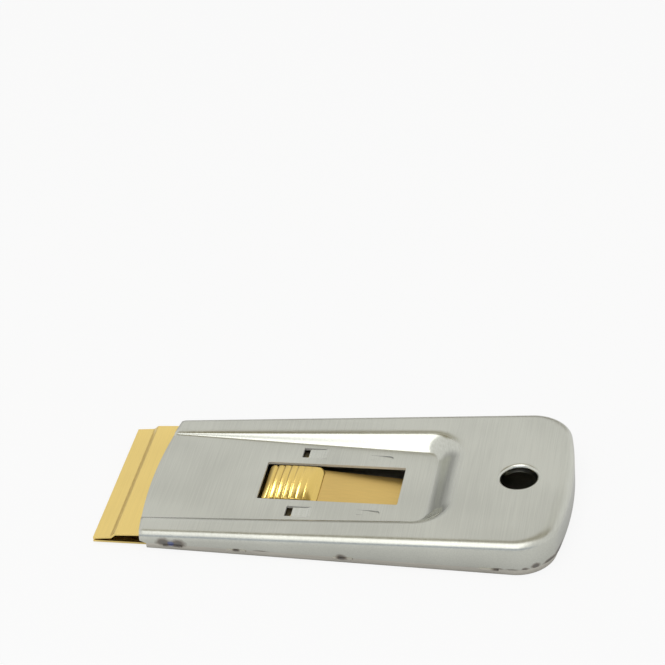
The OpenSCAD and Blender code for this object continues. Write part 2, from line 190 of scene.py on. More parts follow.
class ScraperCarrier(bpy.types.PropertyGroup):
    """Sizes of the blade carrier and its thumb spring."""
    reach: size("Reach", "How far the carrier stands before the front corners", 10.8)
    leaf_t: size("Leaf", "Thickness of the carrier's leaves", (BASE_HIGH.z - BASE_LOW.z) / MM)
    lip_l: size("Lip length", "Length of the lip before its joggle", 3.9)
    lip_h: size("Lip height", "Height of the lip's front edge at its upper face", 1.75)
    lip_rise: size("Lip rise", "Rise of the lip up to the joggle", 0.33)
    joggle_l: size("Joggle length", "Length of the joggle", 0.95)
    joggle_rise: size("Joggle rise", "Rise of the joggle", 0.87)
    stop_back: size("Stop place", "Distance from the front corners to the stop wall's upper edge", 2.05)
    stop_run: size("Stop run", "Slant of the stop wall", 0.5)
    base_back: size("Landing end", "Distance from the front corners to the landing's end", 12)
    crease_r: size("Crease", "Radius of the lip's bends", 0.8)
    base_edge: size("Base edge", "Rounding of the base leaf's edges", 0.06)
    rivet_edge: size("Rivet edge", "Rounding of the rivets' heads", 0.1)
    spring_t: size("Spring leaf", "Thickness of the spring leaf", 0.4)
    spring_edge: size("Spring edge", "Rounding of the spring leaf's edges", 0.05)
    spring_bend_r: size("Spring bends", "Radius of the bends of the spring's tail", 6)
    level_h: size("Level", "Height of the spring's level part", 3)
    hump_gap: size("Hump gap", "Gap between the hump and the window's edges", 0.3)
    tail_set: size("Tail set", "How far the tail is narrower than the hump at each side", 0.25)
    hump_l: size("Hump length", "Length of the thumb hump", 12.7)
    hump_crown: size("Hump crown", "How far the hump falls from its middle to its sides", 0.5)
    hump_arch: size("Hump arch", "How far the hump falls from its middle to its ends", 0.35)
    hump_corner: size("Hump corners", "Radius of the hump's corners in plan", 1.3)
    hump_lap: size("Hump lap", "How far the level part runs in under the hump's front", 1)
    hump_sink: size("Hump sink", "How far the hump's edges reach down past the level part", 0.35)
    hump_front_h: size("Hump front", "Height of the hump's front slope at the front edge", 0.55)
    hump_heel_h: size("Hump heel", "Height of the hump's rear slope at the rear edge", 0.4)
    hump_round: size("Hump rounding", "Reach of the rounding between the hump's top and its slopes", 0.6)
    side_round: size("Hump side rounding", "Reach of the rounding between the hump's top and its sides", 0.45)
    dent_depth: size("Dent", "Depth of the dent in the heel", 0.1)
    dent_left: size("Dent place", "How far the dent lies left of the middle", 0.5)
    dent_set: size("Dent set", "Distance from the dent to the hump's rear edge", 0.8)
    dent_w: size("Dent width", "Half width of the dent", 0.9)
    dent_l: size("Dent length", "Half length of the dent", 0.16)
    rib_first: size("First rib", "Distance from the hump's front to its first rib", 1.25)
    rib_pitch: size("Rib pitch", "Pitch of the ribs", 1.5)
    rib_rise: size("Rib rise", "Height of a rib over the valleys", 0.24)
    rib_valley: part_of("Rib valley", "Half width of a valley, as a share of the pitch", 0.16)
    rib_fade: part_of("Rib fade", "Depth of the rearmost valley, as a share of the first one's", 0.12)
    rib_count: bpy.props.IntProperty(name="Ribs", description="Number of ribs on the hump", default=7, min=1)
    foot_h: size("Foot", "Height of the riveted foot at its upper face", 1.55)
    foot_set: size("Foot place", "Distance from the window's end to the foot", 0.5)
    foot_l: size("Foot length", "Length of the foot", 3)
    wing_l: size("Wing length", "Length of a wing", 7)
    tooth_w: size("Tooth width", "Width of a catch tooth", 1.6)
    tooth_l: size("Tooth length", "Length of a catch tooth", 1.2)
    tooth_h: size("Tooth height", "Height of a catch tooth", 0.2)


class ScraperFinish(bpy.types.PropertyGroup):
    """Colours of the finishes."""
    shell: tint("Shell", "Satin stainless steel of the handle", "#C0C1B8")
    edge: tint("Sheared edge", "Pale sheared edge of the sheet", "#C9C9C5")
    plate: tint("Plate", "Satin stainless steel of the back plate", "#CFCBC0")
    scorch: tint("Scorch", "Brown rim of a heat stain", "#75695F")
    soot: tint("Soot", "Grey heart of a heat stain", "#66625F")
    blueing: tint("Blueing", "Blue bloom between two heat stains", "#4F5F92")
    carrier: tint("Carrier", "Satin brass plate of the carrier", "#EACF81")
    hump: tint("Hump", "Bright brass plate of the thumb hump", "#D9BC6C")
    # Painted shade: brass of the wings darkened because they lie in the dark under the sheet
    wing_shade: tint("Tarnish", "Tarnished brass plate of the spring's wings", "#6A6350")
    tail: tint("Tail", "Dull brass plate of the spring's tail", "#DABB73")


class ScraperStage(bpy.types.PropertyGroup):
    """Camera of the stage."""
    azimuth: turn("Azimuth", "Direction of the view round the part", -76.433)
    elevation: turn("Elevation", "Height of the view over the horizon", 33.659)
    roll: turn("Roll", "Turn of the camera about its view", 5.687)
    distance: size("Distance", "Distance of the camera", 474.412)
    aim_right: size("Aim right", "How far the aim lies right of the front corners' middle", 37.255)
    aim_up: size("Aim up", "How far the aim lies above the front corners' middle", 31.118)
    aim_h: size("Aim height", "Height of the point that the aim is counted from", 4.235)
    lens: bpy.props.FloatProperty(
        name="Lens", description="Focal length on a 36 mm sensor", default=117.4, unit="CAMERA")


def handle():
    return bpy.context.scene.scraper_handle


def carrier():
    return bpy.context.scene.scraper_carrier


def finish():
    return bpy.context.scene.scraper_finish


def place(u, v, z):
    """Point of the frame from the distances right of the middle, behind the front corners, and up."""
    return Vector((u, SHELL_HIGH.y - handle().front_bow - v, z))


def mix(a, b, share):
    return a + (b - a) * share


def eased(share):
    """A share from 0 to 1 with soft ends."""
    share = min(max(share, 0), 1)
    return share * share * (3 - 2 * share)


def soft_min(a, b, reach):
    """The smaller value, with a rounded change within the reach."""
    overlap = max(reach - abs(a - b), 0) / reach
    return min(a, b) - overlap * overlap * reach / 4


def rounded(points, radius, steps=5):
    """An open line of 2-D points with its inner corners rounded."""
    line = [Vector(points[0])]
    for before, corner, after in zip(points, points[1:], points[2:]):
        before, corner, after = Vector(before), Vector(corner), Vector(after)
        back, ahead = (before - corner).normalized(), (after - corner).normalized()
        cut = radius / math.tan(back.angle(ahead) / 2)
        cut = min(cut, (before - corner).length / 2, (after - corner).length / 2)
        for i in range(steps + 1):
            s = i / steps
            line.append(corner + back * cut * (1 - s) ** 2 + ahead * cut * s ** 2)
    return line + [Vector(points[-1])]


def mirrored(line):
    """A line of 2-D points that ends in the middle, continued on the other side."""
    return line + [Vector((-p.x, p.y)) for p in reversed(line[:-1])]


class Plan:
    """Places and outlines of the handle and the spring, by the formulas of the CAD model."""

    def __init__(self):
        h, c = handle(), carrier()
        self.h = h
        self.length = SHELL_HIGH.y - h.front_bow - SHELL_LOW.y
        self.slope = h.wedge_rise / self.length
        self.flare = math.atan(h.flare_w / 2 / self.length)
        self.front_r = ((h.body_w / 2) ** 2 + h.front_bow ** 2) / (2 * h.front_bow)
        self.rear_mid = self.length - h.rear_r
        off = math.cos(self.flare) * h.body_w / 2 - h.corner_r + math.sin(self.flare) * self.rear_mid
        self.rear_turn = self.flare + math.asin(off / (h.rear_r - h.corner_r))
        self.corner_x = (h.rear_r - h.corner_r) * math.sin(self.rear_turn)
        self.corner_back = self.rear_mid + (h.rear_r - h.corner_r) * math.cos(self.rear_turn)
        self.hole_back = SHELL_HIGH.y - h.front_bow - HANG_HOLE["pos_m"][1]
        self.rim_l = self.hole_back - h.rim_set
        self.rim_w = h.body_w - 2 * h.border_w
        self.rim_rear_w = 2 * (self.half(self.rim_l) - h.border_rear_w)
        self.flat_l = self.rim_l - h.rear_run
        self.flat_w = self.rim_w - 2 * h.side_run
        self.flat_rear_w = self.rim_rear_w - 2 * h.side_rear_run
        self.window_back = self.flat_l * h.window_share
        self.window_end = self.flat_l - h.window_set
        window_l = self.window_end - self.window_back
        self.lance_back = self.window_back + window_l * h.lance_share
        self.lance_x = self.beside_window(self.lance_back + h.lance_l, h.lance_side)
        self.tongue_back = self.window_back + window_l * h.tongue_share
        self.tongue_x = self.beside_window(self.tongue_back + h.tongue_l, h.tongue_side)
        self.hump_w = h.window_w - 2 * c.hump_gap
        self.hump_back = self.window_back + c.hump_gap
        self.hump_end = self.hump_back + c.hump_l
        self.tail_w = self.hump_w - 2 * c.tail_set
        self.tooth_back = self.lance_back + h.lance_gap / 2
        self.wing_back = self.tooth_back - (c.wing_l - c.tooth_l) / 2
        self.foot_back = self.window_end + c.foot_set

    def top(self, v):
        return self.h.front_h + self.slope * v

    def half(self, v):
        return self.h.body_w / 2 + math.tan(self.flare) * v

    def beside_window(self, v, share):
        return mix(self.h.window_w / 2, mix(self.flat_w, self.flat_rear_w, v / self.flat_l) / 2, share)

    def front(self, u):
        """Place of the bowed front edge."""
        return self.front_r - self.h.front_bow - math.sqrt(self.front_r ** 2 - u * u)

    def hole(self, radius):
        """A circle about the hang hole's middle."""
        turns = [2 * math.pi * i / HOLE_STEPS for i in range(HOLE_STEPS)]
        return [Vector((radius * math.sin(a), self.hole_back + radius * math.cos(a))) for a in turns]

    def side(self, first, bend):
        """Points along a side, close together in the front roll."""
        ahead = (bend - first).normalized() * self.h.front_roll
        line = [first + ahead * s for s in ROLL_SHARES]
        return line + [line[-1].lerp(bend, i / SIDE_STEPS) for i in range(1, SIDE_STEPS)]

    def outline(self, side_in, rear_in, start):
        """Plan of the handle, drawn in, from the right front corner round the rear to the left one."""
        sweep = math.pi / 2 - self.rear_turn + self.flare
        radius = self.h.corner_r - mix(side_in, rear_in, self.h.bend_growth)
        first = Vector((self.half(start) - side_in / math.cos(self.flare), start))
        bend = Vector((self.corner_x + radius * math.cos(self.flare),
                       self.corner_back - radius * math.sin(self.flare)))
        right = self.side(first, bend)
        for i in range(CORNER_STEPS):
            share = i / CORNER_STEPS
            r = mix(radius, self.h.corner_r - rear_in, share)
            angle = sweep * share - self.flare
            right.append(Vector((self.corner_x + r * math.cos(angle), self.corner_back + r * math.sin(angle))))
        for i in range(REAR_STEPS + 1):
            angle = self.rear_turn * (1 - i / REAR_STEPS)
            r = self.h.rear_r - rear_in
            right.append(Vector((r * math.sin(angle), self.rear_mid + r * math.cos(angle))))
        return mirrored(right)

    def panel_outline(self, w, w_rear, length, r):
        """Plan of a tapered panel with round rear corners, from right front to left front."""
        start = self.front(w / 2)
        first = Vector((w / 2 + (w_rear - w) / 2 * start / length, start))
        right = self.side(first, Vector((w_rear / 2, length - r)))
        for i in range(CORNER_STEPS + 1):
            angle = math.pi / 2 * i / CORNER_STEPS
            right.append(Vector((w_rear / 2 - r + r * math.cos(angle), length - r + r * math.sin(angle))))
        inner = right[-1].x
        right += [Vector((inner * (1 - i / REAR_STEPS), length)) for i in range(1, REAR_STEPS + 1)]
        return mirrored(right)


def add_strip(bm, rings, closed=False, slots=0):
    """Quads between neighbouring rings of points. Gives the rings back as vertices."""
    rows = [[bm.verts.new(p) for p in ring] for ring in rings]
    add_quads(bm, rows, closed, slots)
    return rows


def add_quads(bm, rows, closed=False, slots=0):
    """Quads between neighbouring rows of vertices."""
    for band, (low, high) in enumerate(zip(rows, rows[1:])):
        for i in range(len(low) if closed else len(low) - 1):
            j = (i + 1) % len(low)
            face = bm.faces.new((low[i], low[j], high[j], high[i]))
            face.material_index = slots[band] if isinstance(slots, list) else slots


def add_fill(bm, loops, slot=0):
    """Triangles over a flat region between closed loops of vertices."""
    edges = []
    for loop in loops:
        for a, b in zip(loop, loop[1:] + loop[:1]):
            edges.append(bm.edges.get((a, b)) or bm.edges.new((a, b)))
    made = bmesh.ops.triangle_fill(bm, edges=edges, use_beauty=True, use_dissolve=False)
    faces = [g for g in made["geom"] if isinstance(g, bmesh.types.BMFace)]
    if not faces:
        raise RuntimeError("a flat region of the mesh could not be filled")
    for face in faces:
        face.material_index = slot


def add_loop(bm, points):
    return [bm.verts.new(p) for p in points]


def add_object(name, bm):
    """Turns a drawn mesh into an object of the scene."""
    mesh = bpy.data.meshes.new(name)
    bm.to_mesh(mesh)
    bm.free()
    made = bpy.data.objects.new(name, mesh)
    bpy.context.scene.collection.objects.link(made)
    return made


def make_piece(name, bm, materials, body, nodes, thickness=0, edge=0, up=True, rim_slot=0):
    """Turns a drawn surface into a piece of sheet that rides on a body and stands for CAD nodes."""
    bmesh.ops.remove_doubles(bm, verts=bm.verts, dist=SAME_POINT)
    bmesh.ops.recalc_face_normals(bm, faces=bm.faces)
    pick = max if up else min
    outer = pick(bm.faces, key=lambda f: f.calc_center_median().z)
    if (outer.normal.z > 0) != up:
        bmesh.ops.reverse_faces(bm, faces=bm.faces)
    piece = add_object(name, bm)
    piece.data.shade_smooth()
    for material in materials:
        piece.data.materials.append(material)
    if thickness:
        sheet = piece.modifiers.new("Sheet", "SOLIDIFY")
        sheet.thickness = thickness
        sheet.offset = -1
        sheet.use_even_offset = True
        sheet.material_offset_rim = rim_slot
    if edge:
        soften(piece, edge)
    bake(piece, not edge)
    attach(piece, body)
    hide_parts(*nodes)
    return piece


def soften(part, width):
    """Rounds the sharp edges of a part."""
    rounding = part.modifiers.new("Edges", "BEVEL")
    rounding.width = width
    rounding.segments = EDGE_SEGMENTS
    rounding.limit_method = "ANGLE"
    rounding.angle_limit = SOFT_ANGLE
    rounding.harden_normals = True


def bake(piece, sharpen):
    """Applies a piece's modifiers, and keeps the sharp edges of one that isn't softened."""
    bpy.context.view_layer.update()
    evaluated = piece.evaluated_get(bpy.context.evaluated_depsgraph_get())
    baked = bpy.data.meshes.new_from_object(evaluated)
    old, piece.data = piece.data, baked
    piece.modifiers.clear()
    bpy.data.meshes.remove(old)
    baked.name = piece.name
    if sharpen:
        baked.set_sharp_from_angle(angle=CRISP_ANGLE)


def node(tree, kind, inputs=None, **settings):
    """Adds a shader node with its settings, and fills or links its sockets."""
    made = tree.nodes.new(kind)
    for name, value in settings.items():
        setattr(made, name, value)
    for key, value in (inputs or {}).items():
        if isinstance(value, bpy.types.NodeSocket):
            tree.links.new(value, made.inputs[key])
        else:
            made.inputs[key].default_value = value
    return made


def blank_tree(owner):
    """The emptied node tree of a new material or world."""
    owner.use_nodes = True
    owner.node_tree.nodes.clear()
    return owner.node_tree


def opaque(colour, shade=1):
    return (*(min(c * shade, 1) for c in colour), 1)


# Sockets of a Mix node that mixes colours, whose names aren't unique
MIX_SHARE, MIX_A, MIX_B, MIX_RESULT = 0, 6, 7, 2
# Values between which a noise mostly lies, and how far it strays from its middle
NOISE_LOW, NOISE_HIGH = 0.3, 0.7
NOISE_STRAY = 0.2
# Length of a brush line, breadth of the sheet's slow mottle, and the mottle's weight beside the lines
BRUSH_RUN = 14 * MM
MOTTLE = 14 * MM
MOTTLE_WEIGHT = 0.8
# How much smoother and rougher than a sheet its brush lines are
LINE_SMOOTHER, LINE_ROUGHER = 0.015, 0.02


def satin_metal(name, colour, rough, brush, line, vary=0.07, deep=0.0008 * MM, wobble=0.012 * MM, metallic=1,
                stains=False):
    """A brushed metal. Its lines lie along brush, at the spacing of line, over a slow wobble and mottle."""
    material = bpy.data.materials.new(name)
    tree = blank_tree(material)
    coords = node(tree, "ShaderNodeTexCoord").outputs["Object"]
    scale = [1 / (BRUSH_RUN if axis == brush else line) for axis in "XYZ"]
    stretched = node(tree, "ShaderNodeVectorMath", {0: coords, 1: scale}, operation="MULTIPLY")
    lines = node(tree, "ShaderNodeTexNoise", {
        "Vector": stretched.outputs["Vector"], "Scale": 1, "Detail": 3, "Roughness": 0.6}).outputs["Fac"]
    slow = node(tree, "ShaderNodeTexNoise", {
        "Vector": coords, "Scale": 1 / MOTTLE, "Detail": 1}).outputs["Fac"]
    mottled = node(tree, "ShaderNodeMath", {
        0: slow, 1: MOTTLE_WEIGHT, 2: lines}, operation="MULTIPLY_ADD").outputs["Value"]
    middle = (NOISE_LOW + NOISE_HIGH) / 2 * (1 + MOTTLE_WEIGHT)
    streaks = node(tree, "ShaderNodeMapRange", {
        "Value": mottled, "From Min": middle - NOISE_STRAY, "From Max": middle + NOISE_STRAY}).outputs["Result"]
    base = node(tree, "ShaderNodeMix", {
        MIX_SHARE: streaks, MIX_A: opaque(colour, 1 - vary), MIX_B: opaque(colour, 1 + vary)},
        data_type="RGBA").outputs[MIX_RESULT]
    if stains:
        base = heat_stains(tree, coords, base)
    rough_lines = node(tree, "ShaderNodeMapRange", {
        "Value": lines, "From Min": NOISE_LOW, "From Max": NOISE_HIGH,
        "To Min": rough - LINE_SMOOTHER, "To Max": rough + LINE_ROUGHER})
    waves = node(tree, "ShaderNodeBump", {"Height": slow, "Strength": 1, "Distance": wobble})
    brushed = node(tree, "ShaderNodeBump", {
        "Height": lines, "Strength": 1, "Distance": deep, "Normal": waves.outputs["Normal"]})
    shader = node(tree, "ShaderNodeBsdfPrincipled", {
        "Base Color": base, "Metallic": metallic, "Roughness": rough_lines.outputs["Result"],
        "Normal": brushed.outputs["Normal"]})
    node(tree, "ShaderNodeOutputMaterial", {"Surface": shader.outputs["BSDF"]})
    return material


# Heat stains at the tack welds, in mm: place behind the front corners, height, half length, half height
STAINS = (
    (5.2, 2.45, 1.75, 1.4), (8.5, 2.4, 1.75, 1.35), (21.1, 1.95, 0.9, 0.4), (26.6, 1.95, 2.1, 0.4),
    (43.7, 2.0, 1.2, 1.0), (76.4, 2, 1.3, 0.4), (79.4, 2, 1.6, 0.4), (82, 2.1, 0.8, 0.6), (84.1, 2.6, 0.9, 0.7),
    (86.8, 2.3, 1.3, 0.6), (88.2, 2.5, 0.6, 0.6),
)
BLOOM = ((6.85, 2.45, 0.75, 0.6),)
# Raggedness of the stains' edges: its grain, and its weight beside the distance to a stain
RAGGED = 0.9 * MM
RAGGED_WEIGHT = 0.5
# Distances, as shares of a stain's size, at which its heart ends, its rim starts, and it starts and ends fading
HEART_END, RIM_START = 0.5, 1.1
FADE_START, FADE_END = 0.85, 1.4


def spot_share(tree, coords, spots):
    """Distance to the nearest of some oval spots, as a share of its size."""
    nearest = None
    for back, height, half_l, half_h in spots:
        middle = place(0, back * MM, height * MM)
        scale = Vector((0, 1 / (half_l * MM), 1 / (half_h * MM)))
        off = node(tree, "ShaderNodeVectorMath", {
            0: coords, 1: scale, 2: -scale * middle}, operation="MULTIPLY_ADD").outputs["Vector"]
        share = node(tree, "ShaderNodeVectorMath", {0: off}, operation="LENGTH").outputs["Value"]
        if nearest is not None:
            share = node(tree, "ShaderNodeMath", {0: nearest, 1: share}, operation="MINIMUM").outputs["Value"]
        nearest = share
    return nearest


def heat_stains(tree, coords, base):
    """Grey spots with a brown rim and a blue bloom where the tack welds have heated the walls."""
    ragged = node(tree, "ShaderNodeTexNoise", {
        "Vector": coords, "Scale": 1 / RAGGED, "Detail": 2}).outputs["Fac"]
    for spots, heart, rim, most in ((STAINS, finish().soot, finish().scorch, 0.85),
                                    (BLOOM, finish().blueing, finish().blueing, 0.75)):
        edge = node(tree, "ShaderNodeMath", {
            0: ragged, 1: RAGGED_WEIGHT, 2: spot_share(tree, coords, spots)},
            operation="MULTIPLY_ADD").outputs["Value"]
        burnt = node(tree, "ShaderNodeMapRange", {
            "Value": edge, "From Min": HEART_END, "From Max": RIM_START}).outputs["Result"]
        spot = node(tree, "ShaderNodeMix", {
            MIX_SHARE: burnt, MIX_A: opaque(heart), MIX_B: opaque(rim)}, data_type="RGBA").outputs[MIX_RESULT]
        cover = node(tree, "ShaderNodeMapRange", {
            "Value": edge, "From Min": FADE_START, "From Max": FADE_END, "To Min": most, "To Max": 0})
        base = node(tree, "ShaderNodeMix", {
            MIX_SHARE: cover.outputs["Result"], MIX_A: base, MIX_B: spot}, data_type="RGBA").outputs[MIX_RESULT]
    return base


MATERIALS = {}


def materials():
    """The finishes, made once."""
    if MATERIALS:
        return MATERIALS
    look = finish()
    # Stainless sheet, brushed across the width before pressing: soft grey with fine cross lines.
    # The real lines are about 0.05 mm apart and are drawn coarser, so that they show.
    MATERIALS["shell"] = satin_metal("satin stainless sheet", look.shell, 0.3, "X", 0.22 * MM, stains=True)
    # The same sheet drawn down over the die's radius: smoother, so that the panel's wall gives a bright field
    MATERIALS["drawn"] = satin_metal("drawn stainless wall", look.shell, 0.2, "X", 0.4 * MM)
    # The same sheet bent over along the handle's sides: a soft bright line
    MATERIALS["bend"] = satin_metal("bent stainless edge", look.shell, 0.32, "X", 0.4 * MM, stains=True)
    # Sheared sheet edge: bare, torn and pale
    MATERIALS["edge"] = satin_metal("sheared stainless edge", look.edge, 0.55, "Z", 0.3 * MM, metallic=0.2)
    # Plain stainless sheet, a little warmer and duller than the shell
    MATERIALS["plate"] = satin_metal("plain stainless sheet", look.plate, 0.36, "Y", 0.3 * MM, stains=True)
    # Weld metal: rough steel with the stains of the heat
    MATERIALS["weld"] = satin_metal("scorched weld metal", look.plate, 0.6, "Y", 0.25 * MM, deep=0.01 * MM,
                                    stains=True)
    # Brass plate on brushed steel: warm satin with cross lines
    MATERIALS["carrier"] = satin_metal("satin brass plate", look.carrier, 0.3, "X", 0.25 * MM, vary=0.04)
    # Bright brass plate: keeps clear highlights on the ribs
    MATERIALS["hump"] = satin_metal("bright brass plate", look.hump, 0.16, "X", 0.3 * MM, deep=0.001 * MM,
                                    vary=0.04)
    # The same plate, painted darker as shade where the wings lie in the dark under the sheet: brown-grey, so that
    # the bright teeth stand out
    MATERIALS["wing"] = satin_metal("tarnished brass plate", look.wing_shade, 0.5, "X", 0.3 * MM, vary=0.04)
    # Dull brass plate with faint lengthwise brush lines
    MATERIALS["tail"] = satin_metal("dull brass plate", look.tail, 0.38, "Y", 0.3 * MM, vary=0.04)
    return MATERIALS


# Material slots of the shell, and of the plate's cut edge
SHEET, DRAWN, SHEARED, BENT = range(4)
PLATE_EDGE = 1
# Shares of the panel's wall that its lower and upper fillets take, reach of the plain bands beside them as shares
# of their own reach, and number of plain bands at each end of the wall and round the hole
FOOT_SHARE, BROW_SHARE = 0.35, 0.5
FOOT_BAND, BROW_BAND = 1.3, 1.2
WALL_PLAIN, HOLE_PLAIN = 4, 3
# A tab's bend as shares of its length and drop, and how blunt a tongue's tip is in steps
TAB_ROOT, TAB_STEP, TAB_BEND = 0.03, 0.19, 0.6
TIP_BLUNT = 0.3


class SCRAPER_OT_top_shell(bpy.types.Operator):
    """Pressed handle shell with its sunk panel, window, lances and hang hole"""
    bl_idname = "scraper.top_shell"
    bl_label = "Top shell"

    def execute(self, context):
        h, plan, bm = handle(), Plan(), bmesh.new()
        outer = self.outer_bend(bm, h, plan)
        panel = self.panel_wall(bm, h, plan)
        hole = self.hang_hole(bm, h, plan)
        add_fill(bm, [outer + list(reversed(panel[-1])), hole])
        self.panel_flat(bm, h, plan, panel[0])
        self.roll_front(bm, h, plan)
        look = materials()
        make_piece("handle_shell", bm, [look["shell"], look["drawn"], look["edge"], look["bend"]], "handle",
                   ["top_shell"], h.sheet_t, h.edge, rim_slot=SHEARED)
        return {"FINISHED"}

    def outer_bend(self, bm, h, plan):
        """The bend round the top and the skirt below it. Gives the ring next to the top."""
        rings = []
        for i in range(-1, BEND_STEPS + 1):
            angle = math.pi / 2 * max(i, 0) / BEND_STEPS
            extra = BEND_BAND if i < 0 else 0
            side_in = h.side_bend_r * (1 - math.sin(angle)) + extra
            rear_in = h.rear_bend_r * (1 - math.sin(angle)) + extra
            drop = h.side_bend_r * (1 - math.cos(angle))
            start = plan.front(h.body_w / 2 - side_in)
            rings.append([place(p.x, p.y, plan.top(p.y) - drop) for p in plan.outline(side_in, rear_in, start)])
        skirt_h = SHELL_LOW.z
        rake_l = h.plate_set + h.front_bow + h.rake_past
        for i in range(1, SKIRT_STEPS + 1):
            share = i / SKIRT_STEPS
            bottom = mix(h.front_h - h.side_bend_r, skirt_h, share)
            start = max(plan.front(h.body_w / 2), h.plate_set - (bottom - skirt_h) / (h.rake_h - skirt_h) * rake_l)
            rings.append([place(p.x, p.y, mix(plan.top(p.y) - h.side_bend_r, skirt_h, share))
                          for p in plan.outline(0, 0, start)])
        return add_strip(bm, rings, slots=[SHEET] + [BENT] * BEND_STEPS + [SHEET] * SKIRT_STEPS)[0]

    def panel_wall(self, bm, h, plan):
        """The wall between the sunk flat and the border, with a fillet at each end, wider at the rear."""
        flat = plan.panel_outline(plan.flat_w, plan.flat_rear_w, plan.flat_l, h.flat_r)
        rim = plan.panel_outline(plan.rim_w, plan.rim_rear_w, plan.rim_l, h.rim_r)
        steps = [i / FILLET_STEPS for i in range(FILLET_STEPS + 1)]
        rings = [[] for _ in range(2 * len(steps) + 2)]
        for low, high in zip(flat, rim):
            run = (high - low).length
            to_rear = eased((high - low).y / run)
            inner = mix(h.flat_fillet, h.flat_rear_fillet, to_rear)
            outer = mix(h.rim_fillet, h.rear_fillet, to_rear)
            # Distance from the wall's foot and height over the flat, as shares of the wall's run and rise
            line = [(-FOOT_BAND * inner / run, 0)]
            for s in steps:
                rise = FOOT_SHARE * s * s
                line.append((rise - (1 - s) ** 2 * inner / run, rise))
            for s in reversed(steps):
                rise = 1 - BROW_SHARE * s * s
                line.append((rise + (1 - s) ** 2 * outer / run, rise))
            line.append((1 + BROW_BAND * outer / run, 1))
            for ring, (share, rise) in zip(rings, line):
                p = low.lerp(high, share)
                ring.append(place(p.x, p.y, mix(h.panel_h, plan.top(p.y), rise)))
        plain = [SHEET] * WALL_PLAIN
        return add_strip(bm, rings, slots=plain + [DRAWN] * (len(rings) - 1 - 2 * WALL_PLAIN) + plain)

    def hang_hole(self, bm, h, plan):
        """The hole's rolled edge and collar. Gives the ring next to the top."""
        rings = []
        for i in range(-1, BEND_STEPS + 1):
            angle = math.pi / 2 * max(i, 0) / BEND_STEPS
            wide = h.hole_roll * (1 - math.sin(angle)) + (HOLE_BAND if i < 0 else 0)
            drop = h.hole_roll * (1 - math.cos(angle))
            rings.append([place(p.x, p.y, plan.top(p.y) - drop) for p in plan.hole(h.hole_r + wide)])
        bottom = plan.top(plan.hole_back) - h.collar_h
        rings.append([Vector((p.x, p.y, bottom)) for p in rings[-1]])
        slots = [SHEET] * HOLE_PLAIN + [DRAWN] * (len(rings) - 1 - HOLE_PLAIN)
        return add_strip(bm, rings, closed=True, slots=slots)[0]

    def panel_flat(self, bm, h, plan, border):
        """The sunk flat with its window, lances and tongues."""
        rows = []
        count = len(ROLL_SHARES)
        for k, share in enumerate(ROLL_SHARES):
            left, right = border[-1 - k], border[k]
            row = [left]
            for i in range(1, ARC_STEPS):
                u = mix(left.co.x, right.co.x, i / ARC_STEPS)
                row.append(bm.verts.new(place(u, plan.front(u) + h.front_roll * share, h.panel_h)))
            rows.append(row + [right])
        add_quads(bm, rows)
        loops = [border[count - 1:len(border) - count + 1] + rows[-1][1:-1]]
        loops.append(add_loop(bm, self.window_points(h, plan)))
        for side in (-1, 1):
            loops.append(add_loop(bm, self.lance_points(h, plan, side)))
            loops.append(add_loop(bm, self.tongue_points(h, plan, side)))
            self.tab(bm, h, plan, side)
            self.tongue(bm, h, plan, side)
        add_fill(bm, loops)

    def window_points(self, h, plan):
        points = []
        for x, end, start in ((1, 0, -90), (1, 1, 0), (-1, 1, 90), (-1, 0, 180)):
            mid_u = x * (h.window_w / 2 - h.window_r)
            mid_v = plan.window_end - h.window_r if end else plan.window_back + h.window_r
            for i in range(WINDOW_STEPS + 1):
                angle = math.radians(start + 90 * i / WINDOW_STEPS)
                points.append(place(mid_u + h.window_r * math.cos(angle), mid_v + h.window_r * math.sin(angle),
                                    h.panel_h))
        return points

    def lance_points(self, h, plan, side):
        half, tab = h.lance_w / 2, h.lance_w / 2 - h.shear_w
        start, end = plan.lance_back, plan.lance_back + h.lance_l
        line = [(-half, start), (half, start), (half, end), (tab, end), (-tab, end), (-half, end)]
        return [place(side * plan.lance_x + u, v, h.panel_h) for u, v in line]

    def tab(self, bm, h, plan, side):
        """The tab of a lance: a short step down at its root, then a slant to its free end."""
        half = h.lance_w / 2 - h.shear_w
        root, tip = plan.lance_back + h.lance_l, plan.lance_back + h.lance_gap
        rows = []
        for share in TAB_SHARES:
            past = max(share - TAB_ROOT, 0)
            drop = h.tab_drop * mix(past, eased(past / TAB_STEP), TAB_BEND)
            v = mix(root, tip, share)
            rows.append([place(side * plan.lance_x + u, v, h.panel_h - drop) for u in (-half, half)])
        add_strip(bm, rows, slots=DRAWN)

    def tongue_points(self, h, plan, side):
        """The opening round a tongue, with the tongue's root on its front edge."""
        half, wide = h.tongue_w / 2, h.tongue_w / 2 + h.shear_w
        mid = plan.tongue_back + h.tongue_l - half
        line = [(-wide, plan.tongue_back), (-half, plan.tongue_back), (half, plan.tongue_back),
                (wide, plan.tongue_back)]
        for i in range(TONGUE_STEPS + 1):
            angle = math.pi * i / TONGUE_STEPS
            line.append((wide * math.cos(angle), mid + wide * math.sin(angle)))
        return [place(side * plan.tongue_x + u, v, h.panel_h) for u, v in line]

    def tongue(self, bm, h, plan, side):
        """A tongue that slants down to its round rear end."""
        half = h.tongue_w / 2
        straight = h.tongue_l - half
        steps = [(straight * s, half) for s in TONGUE_SHARES]
        for i in range(1, TIP_STEPS + 1):
            angle = math.pi / 2 * i / (TIP_STEPS + TIP_BLUNT)
            steps.append((straight + half * math.sin(angle), half * math.cos(angle)))
        rows = []
        for run, wide in steps:
            drop = h.tongue_drop * eased(run / h.tongue_l - TAB_ROOT)
            rows.append([place(side * plan.tongue_x + u, plan.tongue_back + run, h.panel_h - drop)
                         for u in (-wide, wide)])
        add_strip(bm, rows)

